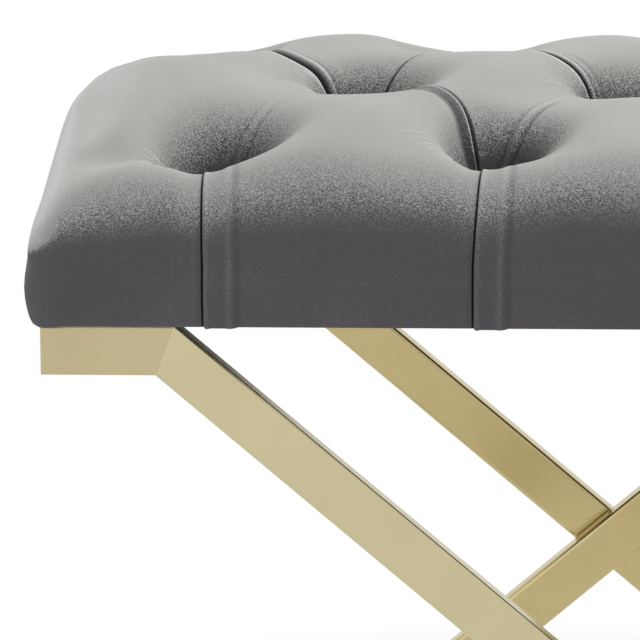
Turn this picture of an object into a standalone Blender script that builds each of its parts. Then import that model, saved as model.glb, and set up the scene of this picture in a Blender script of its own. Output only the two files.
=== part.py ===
"""Upholstered bench: a deep-tufted velvet seat on two crossed-leg frames of brass-finished tube.

Metres, +Z up. The origin is on the floor under the middle of the seat, +X runs along the seat and
-Y is its front. The long tubes of the two outer legs run down from left to right, the inner ones
from right to left, and each leg ends in a short level rail at the top and a short level foot.
"""
import math

import bmesh
import bpy
from mathutils import Vector

# Clearances
CLEARANCE = 0.0003  # between hard pieces that touch
SOFT_CLEARANCE = 0.0005  # between layers of the upholstery

# Frame
FRAME_LENGTH = 0.550  # from end to end of the top rails
FRAME_DEPTH = 0.370  # front of the front cross to back of the rear cross
FRAME_HEIGHT = 0.394  # underside of a foot to top of a top rail
RAIL_LENGTH = 0.0595  # end of a top rail to the middle of its mitre
FOOT_LENGTH = 0.0595  # end of a foot to the middle of its mitre
TUBE_FACE = 0.0254
TUBE_THICKNESS = 0.0127
TUBE_WALL = 0.0012
TUBE_CORNER = 0.0022
END_PLATE = 0.0015
TUBE_CORNER_STEPS = 3

# Glides under the feet
GLIDE_HEIGHT = 0.003
GLIDE_RADIUS = 0.005
GLIDE_STEM_RADIUS = 0.002
GLIDE_STEM_LENGTH = 0.006
GLIDE_END_INSET = 0.012  # from the end of the foot
GLIDE_MITRE_INSET = 0.016  # from the middle of the mitre

# Bolts and threaded inserts that hold the seat on the rails
BOLT_RADIUS = 0.0025
BOLT_HEAD_RADIUS = 0.00425
BOLT_HEAD_HEIGHT = 0.005
ACCESS_HOLE_RADIUS = 0.0047  # in the lower wall of the rail, for the bolt and its key
BOLT_END_INSET = 0.013  # from the end of the rail
BOLT_MITRE_INSET = 0.0205  # from the middle of the mitre
BOLT_TIP_DEPTH = 0.002  # tip of the bolt below the top of its insert
INSERT_WALL = 0.0018

# Seat
SEAT_END_OVERHANG = 0.006  # widest part of the cushion past the rail ends
SEAT_FRONT_OVERHANG = 0.010  # and past the front and back of the frame
SEAT_HEIGHT = 0.1135  # underside of the hem to the middle of the top, before it is tufted
SEAT_CORNER = 0.016  # seen from above, where the sides are widest
BULGE_HEIGHT = 0.031  # where the sides are widest
DRAW_IN = 0.005  # of the sides, from there down to the hem
HEM = 0.006  # width turned under the board
COVER_THICKNESS = 0.0012
BOARD_THICKNESS = 0.015
DUST_COVER_THICKNESS = 0.0009
FRONT_ROUND = 0.034  # width of the rounding from the front to the top
FRONT_DOME = 0.195  # width of the gentle dome that goes on from there
FRONT_DOME_SHARE = 0.66  # share of the rise that the dome makes
END_ROUND = 0.0195  # the same at the ends
END_DOME = 0.155
END_DOME_SHARE = 0.625
ROUND_POWER = 2.2  # 2 is an ellipse, above that the rounding is squarer
DOME_POWER = 2.0

# Tufting
TUFTS_IN_LONG_ROW = 4  # in the front and back rows, and one fewer in the middle row
TUFT_END_INSET = 0.0815  # outer tufts to the ends of the seat
TUFT_FRONT_INSET = 0.075  # front row to the front of the seat
TUFT_DEPTH = 0.0615
TUFT_PULL = 0.150  # depth that the sides of a tuft's hollow would run down to
TUFT_SPAN = 0.0215  # distance over which those sides fade
TUFT_FLOOR_POWER = 4.0  # how sharply they end at its floor
TIE_OPENING = 0.008  # in the cloth and foam, round the tie
PLEAT_DEPTH = 0.0190  # valley between two tufts
EDGE_PLEAT_DEPTH = 0.0065  # valley from a tuft to the front or back
PLEAT_SPAN = 0.070  # distance over which a valley fades
PLEAT_POWER = 1.9
EDGE_GROOVE = 0.004  # how far a pleat draws the rounding at the front in
EDGE_GROOVE_SPAN = 0.015
SINK_POWER = 3.0  # how sharply hollows and valleys blend into each other
BUTTON_RADIUS = 0.008
BUTTON_RISE = 0.0045
BUTTON_RIM = 0.0015
BUTTON_LIFT = 0.0048  # underside of the button over the floor of its tuft
TIE_RADIUS = 0.0015

# Fineness of the tufted surface
CELLS_BETWEEN_TUFTS = 3  # in half a spacing along a row, and from row to row
CELLS_TO_EDGE = 4  # from the outermost tufts to the edge
EDGE_CROWDING = 1.5  # above 1, those cells get smaller towards the edge
ROUND_STEPS = 12

# Worked out from the sizes above
SEAT_LENGTH = FRAME_LENGTH + 2 * SEAT_END_OVERHANG
SEAT_WIDTH = FRAME_DEPTH + 2 * SEAT_FRONT_OVERHANG
TUFT_SPACING = (SEAT_LENGTH - 2 * TUFT_END_INSET) / (TUFTS_IN_LONG_ROW - 1)
TUFT_ROW_SPACING = SEAT_WIDTH / 2 - TUFT_FRONT_INSET
MITRE_X = FRAME_LENGTH / 2 - RAIL_LENGTH
FOOT_BOTTOM = GLIDE_HEIGHT + CLEARANCE
FOOT_Z = FOOT_BOTTOM + TUBE_FACE / 2
RAIL_BOTTOM = FOOT_BOTTOM + FRAME_HEIGHT - TUBE_FACE
RAIL_Z = RAIL_BOTTOM + TUBE_FACE / 2
SEAT_Z = FOOT_BOTTOM + FRAME_HEIGHT + CLEARANCE  # underside of the hem
BOARD_BOTTOM = COVER_THICKNESS + CLEARANCE  # heights from here on are over the hem
BOARD_TOP = BOARD_BOTTOM + BOARD_THICKNESS
FOAM_BOTTOM = BOARD_TOP + CLEARANCE
INSERT_RADIUS = BOLT_RADIUS + CLEARANCE + INSERT_WALL

SIDES = {"front": -1, "rear": 1}
LEGS = {"outer": -1, "inner": 1}  # side of the bench, along X, that the top of the leg is on


# Scene

def clear_scene():
    for old in list(bpy.data.objects):
        bpy.data.objects.remove(old, do_unlink=True)


def new_collection(name):
    collection = bpy.data.collections.new(name)
    bpy.context.scene.collection.children.link(collection)
    return collection


def new_material(name, colour, roughness, metallic=0.0):
    material = bpy.data.materials.new(name)
    material.use_nodes = True
    shader = material.node_tree.nodes["Principled BSDF"]
    shader.inputs["Base Color"].default_value = (*colour, 1.0)
    shader.inputs["Roughness"].default_value = roughness
    shader.inputs["Metallic"].default_value = metallic
    material.diffuse_color = (*colour, 1.0)
    return material


clear_scene()
PARTS = new_collection("upholstered_bench")
CUTTERS = new_collection("cutters")
VELVET = new_material("grey_velvet", (0.17, 0.165, 0.17), 0.85)
FOAM = new_material("cream_foam", (0.78, 0.72, 0.55), 0.95)
PLYWOOD = new_material("birch_plywood", (0.62, 0.46, 0.29), 0.7)
BLACK_CLOTH = new_material("black_dust_cloth", (0.02, 0.02, 0.022), 0.95)
BRASS = new_material("pale_brass_finish", (0.66, 0.56, 0.33), 0.28, 1.0)
STEEL = new_material("zinc_plated_steel", (0.55, 0.56, 0.57), 0.35, 1.0)
GLIDE_PLASTIC = new_material("black_glide_plastic", (0.03, 0.03, 0.03), 0.55)


def new_empty(name, location=(0.0, 0.0, 0.0), parent=None):
    empty = bpy.data.objects.new(name, None)
    empty.location = location
    empty.parent = parent
    PARTS.objects.link(empty)
    return empty


def add_part(name, mesh, material, parent, location=(0.0, 0.0, 0.0), turn=0.0):
    """Links a mesh as a named sub-part, turned about Y, with its place given under its parent."""
    part = bpy.data.objects.new(name, mesh)
    if material:
        mesh.materials.append(material)
    part.location = location
    part.rotation_euler = (0.0, turn, 0.0)
    part.parent = parent
    PARTS.objects.link(part)
    return part


def add_cutter(name, mesh, parent, location):
    cutter = bpy.data.objects.new(name, mesh)
    cutter.location = location
    cutter.parent = parent
    cutter.hide_render = True
    cutter.display_type = "WIRE"
    CUTTERS.objects.link(cutter)
    return cutter


def cut(part, cutter):
    boolean = part.modifiers.new(cutter.name, "BOOLEAN")
    boolean.operation = "DIFFERENCE"
    boolean.object = cutter


# Shapes

def rounded_rectangle(width, height, radius, steps):
    """Points round a rectangle with round corners, anticlockwise."""
    points = []
    for quarter in range(4):
        corner_x = (width / 2 - radius) * (1 if quarter in (0, 3) else -1)
        corner_y = (height / 2 - radius) * (1 if quarter in (0, 1) else -1)
        for step in range(steps + 1):
            angle = math.pi / 2 * (quarter + step / steps)
            points.append((corner_x + radius * math.cos(angle), corner_y + radius * math.sin(angle)))
    return points


def circle(x, y, radius, steps=ROUND_STEPS):
    points = []
    for step in range(steps):
        angle = 2 * math.pi * step / steps
        points.append((x + radius * math.cos(angle), y + radius * math.sin(angle)))
    return points


def plate_mesh(name, outlines, thickness):
    """A flat plate from an outline and its holes, centred on its own XY plane."""
    curve = bpy.data.curves.new(name, "CURVE")
    curve.dimensions = "2D"
    curve.fill_mode = "BOTH"
    curve.extrude = thickness / 2
    for outline in outlines:
        spline = curve.splines.new("POLY")
        spline.points.add(len(outline) - 1)
        spline.use_cyclic_u = True
        for point, (x, y) in zip(spline.points, outline):
            point.co = (x, y, 0.0, 1.0)
    source = bpy.data.objects.new(name + "_outline", curve)
    bpy.context.scene.collection.objects.link(source)
    bpy.context.view_layer.update()
    mesh = bpy.data.meshes.new_from_object(source.evaluated_get(bpy.context.evaluated_depsgraph_get()))
    bpy.data.objects.remove(source, do_unlink=True)
    plate = bmesh.new()
    plate.from_mesh(mesh)
    bmesh.ops.remove_doubles(plate, verts=plate.verts, dist=0.00001)
    bmesh.ops.recalc_face_normals(plate, faces=plate.faces)
    plate.to_mesh(mesh)
    plate.free()
    mesh.name = name
    return mesh


def turned_part(name, profile, material, parent, location, closed=False):
    """A turned piece from (radius, height) points that run down its outer side."""
    mesh = bpy.data.meshes.new(name)
    edges = [(k, k + 1) for k in range(len(profile) - 1)]
    if closed:
        edges.append((len(profile) - 1, 0))
    mesh.from_pydata([(radius, 0.0, height) for radius, height in profile], edges, [])
    part = add_part(name, mesh, material, parent, location)
    screw = part.modifiers.new("turn", "SCREW")
    screw.steps = ROUND_STEPS
    screw.render_steps = ROUND_STEPS
    screw.use_merge_vertices = True
    screw.merge_threshold = 0.00001
    screw.use_smooth_shade = True
    return part


def cylinder_mesh(name, radius, bottom, top):
    mesh = bpy.data.meshes.new(name)
    shape = bmesh.new()
    bmesh.ops.create_cone(shape, cap_ends=True, segments=ROUND_STEPS, radius1=radius, radius2=radius,
                          depth=top - bottom)
    bmesh.ops.translate(shape, verts=shape.verts, vec=(0.0, 0.0, (top + bottom) / 2))
    shape.to_mesh(mesh)
    shape.free()
    return mesh


# Crossed-leg frames

def mitre_slope(axis, other):
    """How far a mitred end runs along its tube for each unit across it, and its share of the gap."""
    across = Vector((axis.z, 0.0, -axis.x))
    normal = (axis + other).normalized()
    return -normal.dot(across) / normal.dot(axis), CLEARANCE / 2 / normal.dot(axis)


def tube(name, start, end, parent, before=None, after=None):
    """A hollow tube from start to end, mitred to the tube before or after it where one is given."""
    axis = (end - start).normalized()
    start_slope, start_trim = mitre_slope(axis, before) if before else (0.0, 0.0)
    end_slope, end_trim = mitre_slope(axis, after) if after else (0.0, 0.0)
    length = (end - start).length
    outside = rounded_rectangle(TUBE_FACE, TUBE_THICKNESS, TUBE_CORNER, TUBE_CORNER_STEPS)
    inside = rounded_rectangle(TUBE_FACE - 2 * TUBE_WALL, TUBE_THICKNESS - 2 * TUBE_WALL,
                               TUBE_CORNER - TUBE_WALL, TUBE_CORNER_STEPS)
    mesh = plate_mesh(name, [outside, inside], length)
    for vertex in mesh.vertices:
        if vertex.co.z < 0:
            vertex.co.z += start_trim + start_slope * vertex.co.x
        else:
            vertex.co.z += end_slope * vertex.co.x - end_trim
    middle = (start + end) / 2
    return add_part(name, mesh, BRASS, parent, middle, math.atan2(axis.x, axis.z))


def end_plate(name, x, z, parent):
    """A plate that closes the end of a rail or a foot, its outer face at x."""
    outline = rounded_rectangle(TUBE_FACE, TUBE_THICKNESS, TUBE_CORNER, TUBE_CORNER_STEPS)
    mesh = plate_mesh(name, [outline], END_PLATE)
    inward = -math.copysign(END_PLATE / 2, x)
    add_part(name, mesh, BRASS, parent, (x + inward, 0.0, z), math.pi / 2)


def leg(name, top_side, parent):
    """One leg with its top rail, foot, end plates, glides and bolts, in the plane of its empty."""
    rail_end = Vector((top_side * FRAME_LENGTH / 2, 0.0, RAIL_Z))
    top_mitre = Vector((top_side * MITRE_X, 0.0, RAIL_Z))
    foot_mitre = Vector((-top_side * MITRE_X, 0.0, FOOT_Z))
    foot_end = Vector((-top_side * (MITRE_X + FOOT_LENGTH), 0.0, FOOT_Z))
    outward = Vector((top_side, 0.0, 0.0))
    along_leg = (foot_mitre - top_mitre).normalized()
    plate_room = outward * (END_PLATE + CLEARANCE)
    rail = tube(name + "_top_rail", rail_end - plate_room, top_mitre, parent, after=along_leg)
    tube(name + "_leg", top_mitre, foot_mitre, parent, before=-outward, after=-outward)
    foot = tube(name + "_foot", foot_mitre, foot_end + plate_room, parent, before=along_leg)
    end_plate(name + "_rail_end", rail_end.x, RAIL_Z, parent)
    end_plate(name + "_foot_end", foot_end.x, FOOT_Z, parent)
    bolt_places = (rail_end.x - top_side * BOLT_END_INSET, top_mitre.x + top_side * BOLT_MITRE_INSET)
    for number, x in enumerate(bolt_places, 1):
        bolt_and_insert(f"{name}_%s_{number}", x, rail, parent)
    glide_places = (foot_end.x + top_side * GLIDE_END_INSET, foot_mitre.x - top_side * GLIDE_MITRE_INSET)
    for number, x in enumerate(glide_places, 1):
        glide(f"{name}_glide_{number}", x, foot, parent)


def bolt_and_insert(name, x, rail, parent):
    """A bolt from inside a rail up into its threaded insert in the seat board."""
    rail_top = RAIL_BOTTOM + TUBE_FACE
    insert_top = SEAT_Z + BOARD_TOP
    insert_bottom = SEAT_Z + BOARD_BOTTOM
    tip = insert_top - BOLT_TIP_DEPTH
    head_top = rail_top - TUBE_WALL - CLEARANCE
    head_bottom = head_top - BOLT_HEAD_HEIGHT
    bolt = [(0.0, tip), (BOLT_RADIUS, tip), (BOLT_RADIUS, head_top), (BOLT_HEAD_RADIUS, head_top),
            (BOLT_HEAD_RADIUS, head_bottom), (0.0, head_bottom)]
    turned_part(name % "bolt", bolt, STEEL, parent, (x, 0.0, 0.0))
    bore = BOLT_RADIUS + CLEARANCE
    insert = [(bore, insert_top), (INSERT_RADIUS, insert_top), (INSERT_RADIUS, insert_bottom),
              (bore, insert_bottom)]
    turned_part(name % "insert", insert, STEEL, parent, (x, 0.0, 0.0), closed=True)
    holes = (("bolt_hole", bore, rail_top), ("access_hole", ACCESS_HOLE_RADIUS, RAIL_BOTTOM))
    for hole_name, radius, wall in holes:
        hole = cylinder_mesh(name % hole_name, radius, -2 * TUBE_WALL, 2 * TUBE_WALL)
        cut(rail, add_cutter(name % hole_name, hole, parent, (x, 0.0, wall)))


def glide(name, x, foot, parent):
    """A moulded glide under a foot, with its stem through the foot's lower wall."""
    stem_top = FOOT_BOTTOM + GLIDE_STEM_LENGTH
    profile = [(0.0, stem_top), (GLIDE_STEM_RADIUS, stem_top), (GLIDE_STEM_RADIUS, GLIDE_HEIGHT),
               (GLIDE_RADIUS, GLIDE_HEIGHT), (GLIDE_RADIUS, GLIDE_HEIGHT / 3),
               (GLIDE_RADIUS - GLIDE_HEIGHT / 3, 0.0), (0.0, 0.0)]
    turned_part(name, profile, GLIDE_PLASTIC, parent, (x, 0.0, 0.0))
    hole = cylinder_mesh(name + "_hole", GLIDE_STEM_RADIUS + CLEARANCE, -TUBE_WALL, 2 * TUBE_WALL)
    cut(foot, add_cutter(name + "_hole", hole, parent, (x, 0.0, FOOT_BOTTOM)))


def leg_plane(side, leg_name):
    """Distance of a leg's middle plane from the middle of the bench, along Y."""
    outer = FRAME_DEPTH / 2 - TUBE_THICKNESS / 2
    if leg_name == "inner":
        outer -= TUBE_THICKNESS + CLEARANCE
    return SIDES[side] * outer


# Tufted form of the cushion, in heights over the hem

def tuft_places():
    places = []
    for row in (-1, 0, 1):
        count = TUFTS_IN_LONG_ROW - (1 if row == 0 else 0)
        for k in range(count):
            places.append((TUFT_SPACING * (k - (count - 1) / 2), row * TUFT_ROW_SPACING))
    return places


def pleat_lines(tufts):
    """Valleys as (start, end, depth): from tuft to tuft, and to the front or back."""
    lines = []
    for x, y in tufts:
        if y == 0:
            continue
        for other_x, other_y in tufts:
            if other_y == 0 and abs(other_x - x) < 0.75 * TUFT_SPACING:
                lines.append(((x, y), (other_x, other_y), PLEAT_DEPTH))
        lines.append(((x, y), (x, math.copysign(SEAT_WIDTH / 2, y)), EDGE_PLEAT_DEPTH))
    return lines


TUFTS = tuft_places()
PLEATS = pleat_lines(TUFTS)


def distance_to_line(x, y, start, end):
    run = Vector(end) - Vector(start)
    share = (Vector((x, y)) - Vector(start)).dot(run) / run.length_squared
    nearest = Vector(start) + run * min(max(share, 0.0), 1.0)
    return (Vector((x, y)) - nearest).length


def sink(x, y):
    """How far the tufts and pleats draw the top down."""
    total = 0.0
    for tuft_x, tuft_y in TUFTS:
        sides = TUFT_PULL * math.exp(-math.hypot(x - tuft_x, y - tuft_y) / TUFT_SPAN)
        floor_ratio = (sides / TUFT_DEPTH) ** TUFT_FLOOR_POWER
        total += (sides * (1.0 + floor_ratio) ** (-1.0 / TUFT_FLOOR_POWER)) ** SINK_POWER
    for start, end, depth in PLEATS:
        reach = distance_to_line(x, y, start, end)
        total += (depth * math.exp(-(reach / PLEAT_SPAN) ** PLEAT_POWER)) ** SINK_POWER
    return total ** (1.0 / SINK_POWER)


def rise(inset, run, power):
    """Share of its height that a rounding has at a distance in from the edge."""
    left = max(0.0, 1.0 - inset / run)
    return max(0.0, 1.0 - left ** power) ** (1.0 / power)


def front_rise(y):
    inset = SEAT_WIDTH / 2 - abs(y)
    dome = FRONT_DOME_SHARE * rise(inset, FRONT_DOME, DOME_POWER)
    return (1.0 - FRONT_DOME_SHARE) * rise(inset, FRONT_ROUND, ROUND_POWER) + dome


def end_rise(x):
    inset = SEAT_LENGTH / 2 - abs(x)
    dome = END_DOME_SHARE * rise(inset, END_DOME, DOME_POWER)
    return (1.0 - END_DOME_SHARE) * rise(inset, END_ROUND, ROUND_POWER) + dome


def seat_height(x, y):
    return BULGE_HEIGHT + (SEAT_HEIGHT - BULGE_HEIGHT - sink(x, y)) * end_rise(x) * front_rise(y)


def groove(x, y):
    """How far the pleats draw the rounding at the front and back in."""
    near = min(abs(x - tuft_x) for tuft_x, tuft_y in TUFTS if tuft_y != 0)
    up = rise(SEAT_WIDTH / 2 - abs(y), FRONT_ROUND, ROUND_POWER)
    return EDGE_GROOVE * 4 * up * (1.0 - up) * max(0.0, 1.0 - near / EDGE_GROOVE_SPAN)


def round_corner(x, y):
    """Moves a place in the rectangular layout so that the layout's corners become round."""
    straight_x = SEAT_LENGTH / 2 - SEAT_CORNER
    straight_y = SEAT_WIDTH / 2 - SEAT_CORNER
    past_x = max(0.0, abs(x) - straight_x) / SEAT_CORNER
    past_y = max(0.0, abs(y) - straight_y) / SEAT_CORNER
    if past_x and past_y:
        corner_x = straight_x + SEAT_CORNER * past_x * math.sqrt(1.0 - past_y ** 2 / 2)
        corner_y = straight_y + SEAT_CORNER * past_y * math.sqrt(1.0 - past_x ** 2 / 2)
        return math.copysign(corner_x, x), math.copysign(corner_y, y)
    return x, y


def outward(point):
    """Level direction out of the cushion's outline at a point on its edge."""
    straight_x = SEAT_LENGTH / 2 - SEAT_CORNER
    straight_y = SEAT_WIDTH / 2 - SEAT_CORNER
    inner_x = clamp(point.x, straight_x)
    inner_y = clamp(point.y, straight_y)
    return Vector((point.x - inner_x, point.y - inner_y, 0.0)).normalized()


def clamp(value, limit):
    return min(max(value, -limit), limit)


def edge_place(point, inset, height):
    """The place on the outline, inset from its widest part, that an edge point runs down to."""
    direction = outward(point)
    corner = max(SEAT_CORNER - inset, CLEARANCE)
    x = clamp(point.x, SEAT_LENGTH / 2 - inset - corner) + direction.x * corner
    y = clamp(point.y, SEAT_WIDTH / 2 - inset - corner) + direction.y * corner
    return Vector((x, y, height))


def grid_lines(half, last_tuft, cells):
    """Grid lines across the cushion, even between the tufts and crowded towards the edge."""
    lines = [last_tuft * k / cells for k in range(cells + 1)]
    for k in range(1, CELLS_TO_EDGE + 1):
        share = 1.0 - (1.0 - k / CELLS_TO_EDGE) ** EDGE_CROWDING
        lines.append(last_tuft + (half - last_tuft) * share)
    return [-line for line in reversed(lines[1:])] + lines


def tufted_surface():
    """The open top of the cushion as triangles, with a hole for each tie, and its outer edges."""
    half_spacings = TUFTS_IN_LONG_ROW - 1
    last_tuft = TUFT_SPACING * half_spacings / 2
    lines_x = grid_lines(SEAT_LENGTH / 2, last_tuft, CELLS_BETWEEN_TUFTS * half_spacings)
    lines_y = grid_lines(SEAT_WIDTH / 2, TUFT_ROW_SPACING, CELLS_BETWEEN_TUFTS)
    surface = bmesh.new()
    bmesh.ops.create_grid(surface, x_segments=len(lines_x) - 1, y_segments=len(lines_y) - 1, size=1.0)
    for vertex in surface.verts:
        column = round((vertex.co.x + 1) / 2 * (len(lines_x) - 1))
        row = round((vertex.co.y + 1) / 2 * (len(lines_y) - 1))
        vertex.co = (lines_x[column], lines_y[row], 0.0)
    open_tufts(surface)
    edge = {vertex for vertex in surface.verts if is_on_edge(vertex.co)}
    split_along_valleys(surface)
    for vertex in surface.verts:
        x, y, _ = vertex.co
        height = seat_height(x, y)
        drawn_in = math.copysign(groove(x, y), y)
        vertex.co = (*round_corner(x, y - drawn_in), height)
    surface.normal_update()
    edge_lines = [line for line in surface.edges if line.is_boundary and set(line.verts) <= edge]
    return surface, edge_lines


def is_on_edge(place):
    return max(abs(place.x) - SEAT_LENGTH / 2, abs(place.y) - SEAT_WIDTH / 2) > -CLEARANCE


def open_tufts(surface):
    """Cuts a small opening round each tuft in the flat layout."""
    middles = []
    for vertex in surface.verts:
        if min(math.hypot(vertex.co.x - x, vertex.co.y - y) for x, y in TUFTS) < CLEARANCE:
            middles.append(vertex)
    made = bmesh.ops.bevel(surface, geom=middles, offset=TIE_OPENING, offset_type="OFFSET",
                           segments=1, profile=0.5, affect="VERTICES")
    bmesh.ops.delete(surface, geom=made["faces"], context="FACES")


def split_along_valleys(surface):
    """Splits each four-sided face of the flat layout along the diagonal that fits the form best."""
    for face in [face for face in surface.faces if len(face.verts) == 4]:
        a, b, c, d = face.verts
        middle = face.calc_center_median()
        height = seat_height(middle.x, middle.y)
        first = (seat_height(*a.co.xy) + seat_height(*c.co.xy)) / 2
        second = (seat_height(*b.co.xy) + seat_height(*d.co.xy)) / 2
        if abs(first - height) <= abs(second - height):
            bmesh.utils.face_split(face, a, c)
        else:
            bmesh.utils.face_split(face, b, d)
    bmesh.ops.triangulate(surface, faces=[face for face in surface.faces if len(face.verts) > 3])


def extrude_lines(surface, lines):
    """Adds a band of faces along an open edge and returns its new vertices and edges."""
    made = bmesh.ops.extrude_edge_only(surface, edges=lines)["geom"]
    vertices = [item for item in made if isinstance(item, bmesh.types.BMVert)]
    edges = [item for item in made if isinstance(item, bmesh.types.BMEdge) and item.is_boundary]
    return vertices, edges


def extend_edge(surface, lines, inset, height):
    """Runs the cushion's edge on to a level and an inset from its outline."""
    vertices, edges = extrude_lines(surface, lines)
    for vertex in vertices:
        vertex.co = edge_place(vertex.co, inset, height)
    return edges


def velvet_cover(parent):
    surface, edge_lines = tufted_surface()
    edge_lines = extend_edge(surface, edge_lines, DRAW_IN, 0.0)
    extend_edge(surface, edge_lines, DRAW_IN + HEM, 0.0)
    bmesh.ops.recalc_face_normals(surface, faces=surface.faces)
    mesh = bpy.data.meshes.new("velvet_cover")
    surface.to_mesh(mesh)
    surface.free()
    cover = add_part("velvet_cover", mesh, VELVET, parent)
    mesh.shade_smooth()
    shell = cover.modifiers.new("cloth", "SOLIDIFY")
    shell.thickness = COVER_THICKNESS
    shell.offset = -1.0


def foam_core(parent):
    surface, edge_lines = tufted_surface()
    edge = {vertex for line in edge_lines for vertex in line.verts}
    depth = COVER_THICKNESS + SOFT_CLEARANCE
    moved = {}
    for vertex in surface.verts:
        direction = outward(vertex.co) if vertex in edge else vertex.normal
        moved[vertex] = vertex.co - direction * depth
    for vertex, place in moved.items():
        vertex.co = place
    tie_lines = [line for line in surface.edges if line.is_boundary and line not in set(edge_lines)]
    share = 1.0 - FOAM_BOTTOM / BULGE_HEIGHT
    side_vertices, rim = extrude_lines(surface, edge_lines)
    for vertex in side_vertices:
        direction = outward(vertex.co)
        widest = vertex.co + direction * depth
        hem = edge_place(widest, DRAW_IN, 0.0)
        vertex.co = widest.lerp(hem, share) - direction * depth
    tie_vertices, tie_rim = extrude_lines(surface, tie_lines)
    for vertex in tie_vertices:
        vertex.co.z = FOAM_BOTTOM
    rim += tie_rim
    bmesh.ops.triangle_fill(surface, use_beauty=True, edges=rim)
    bmesh.ops.recalc_face_normals(surface, faces=surface.faces)
    mesh = bpy.data.meshes.new("foam_core")
    surface.to_mesh(mesh)
    surface.free()
    add_part("foam_core", mesh, FOAM, parent)


# Flat layers under the cushion

def bolt_spots():
    """Places of all bolts, over the hem's XY plane."""
    spots = []
    for side in SIDES:
        for leg_name, top_side in LEGS.items():
            y = leg_plane(side, leg_name)
            spots.append((top_side * (FRAME_LENGTH / 2 - BOLT_END_INSET), y))
            spots.append((top_side * (MITRE_X + BOLT_MITRE_INSET), y))
    return spots


def layer(name, inset, bottom, thickness, holes, material, parent):
    """A sheet of the seat's outline, inset from its widest part, with its holes."""
    corner = max(SEAT_CORNER - inset, TUBE_CORNER)
    outline = rounded_rectangle(SEAT_LENGTH - 2 * inset, SEAT_WIDTH - 2 * inset, corner, 6)
    mesh = plate_mesh(name, [outline] + holes, thickness)
    add_part(name, mesh, material, parent, (0.0, 0.0, bottom + thickness / 2))


def board_and_dust_cover(parent):
    insert_holes = [circle(x, y, INSERT_RADIUS + CLEARANCE) for x, y in bolt_spots()]
    tie_holes = [circle(x, y, TIE_RADIUS + CLEARANCE, 8) for x, y in TUFTS]
    board_inset = DRAW_IN + COVER_THICKNESS + CLEARANCE
    board_holes = insert_holes + tie_holes
    layer("seat_board", board_inset, BOARD_BOTTOM, BOARD_THICKNESS, board_holes, PLYWOOD, parent)
    bolt_holes = [circle(x, y, BOLT_RADIUS + CLEARANCE) for x, y in bolt_spots()]
    dust_inset = DRAW_IN + HEM + SOFT_CLEARANCE
    dust_bottom = BOARD_BOTTOM - CLEARANCE - DUST_COVER_THICKNESS
    layer("dust_cover", dust_inset, dust_bottom, DUST_COVER_THICKNESS, bolt_holes, BLACK_CLOTH, parent)


def tuft_buttons(parent):
    """Covered buttons at the floors of the tufts, each with the tie that holds it to the board."""
    for number, (x, y) in enumerate(TUFTS, 1):
        seat = seat_height(x, y) + BUTTON_LIFT
        rim = seat + BUTTON_RIM
        profile = [(0.0, rim + BUTTON_RISE)]
        for degrees in (60, 30, 0):
            angle = math.radians(degrees)
            profile.append((BUTTON_RADIUS * math.cos(angle), rim + BUTTON_RISE * math.sin(angle)))
        profile += [(BUTTON_RADIUS - BUTTON_RIM, seat), (TIE_RADIUS, seat), (TIE_RADIUS, BOARD_BOTTOM),
                    (0.0, BOARD_BOTTOM)]
        turned_part(f"tuft_button_{number:02d}", profile, VELVET, parent, (x, y, 0.0))


def build():
    bench = new_empty("upholstered_bench_origin")
    for side in SIDES:
        for leg_name, top_side in LEGS.items():
            name = f"{side}_{leg_name}"
            plane = new_empty(name + "_plane", (0.0, leg_plane(side, leg_name), 0.0), bench)
            leg(name, top_side, plane)
    seat = new_empty("seat_plane", (0.0, 0.0, SEAT_Z), bench)
    board_and_dust_cover(seat)
    foam_core(seat)
    velvet_cover(seat)
    tuft_buttons(seat)


build()
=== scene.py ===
"""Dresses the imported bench: a tufted velvet seat with folded pleats, brass-finished tubes and a studio."""
import math

import bpy
import numpy as np
from mathutils import Matrix, Vector, geometry


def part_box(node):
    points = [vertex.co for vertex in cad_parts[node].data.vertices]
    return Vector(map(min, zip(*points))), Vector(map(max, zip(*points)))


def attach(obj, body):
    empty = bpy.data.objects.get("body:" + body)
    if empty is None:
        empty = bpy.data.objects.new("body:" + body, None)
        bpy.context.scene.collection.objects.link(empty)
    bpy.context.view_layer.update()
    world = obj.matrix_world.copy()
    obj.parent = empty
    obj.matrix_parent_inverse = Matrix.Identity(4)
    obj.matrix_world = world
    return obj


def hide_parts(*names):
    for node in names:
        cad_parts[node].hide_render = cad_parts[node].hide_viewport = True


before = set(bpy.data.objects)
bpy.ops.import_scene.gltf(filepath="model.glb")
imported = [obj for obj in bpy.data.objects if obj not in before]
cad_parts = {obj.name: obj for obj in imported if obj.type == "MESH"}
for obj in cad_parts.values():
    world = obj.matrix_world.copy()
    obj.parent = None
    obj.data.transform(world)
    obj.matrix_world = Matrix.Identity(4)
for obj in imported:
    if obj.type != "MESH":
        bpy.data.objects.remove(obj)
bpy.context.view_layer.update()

# Sizes of the seat, in metres, as its solids have them
SEAT_LOW, SEAT_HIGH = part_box("velvet_cover")
HALF_LENGTH = (SEAT_HIGH.x - SEAT_LOW.x) / 2
HALF_WIDTH = (SEAT_HIGH.y - SEAT_LOW.y) / 2
HALF_SIZE = np.array((HALF_LENGTH, HALF_WIDTH))
SEAT_Z = SEAT_LOW.z
SEAT_HEIGHT = 0.1135
SEAT_CORNER = 0.016
BULGE_HEIGHT = 0.031  # where the sides are widest, over the hem
FRONT_ROUND = 0.034
FRONT_DOME = 0.195
FRONT_DOME_SHARE = 0.66
END_ROUND = 0.0195
END_DOME = 0.155
END_DOME_SHARE = 0.625
ROUND_POWER = 2.2
DOME_POWER = 2.0
DRAW_IN = 0.005
HEM = 0.006

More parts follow.
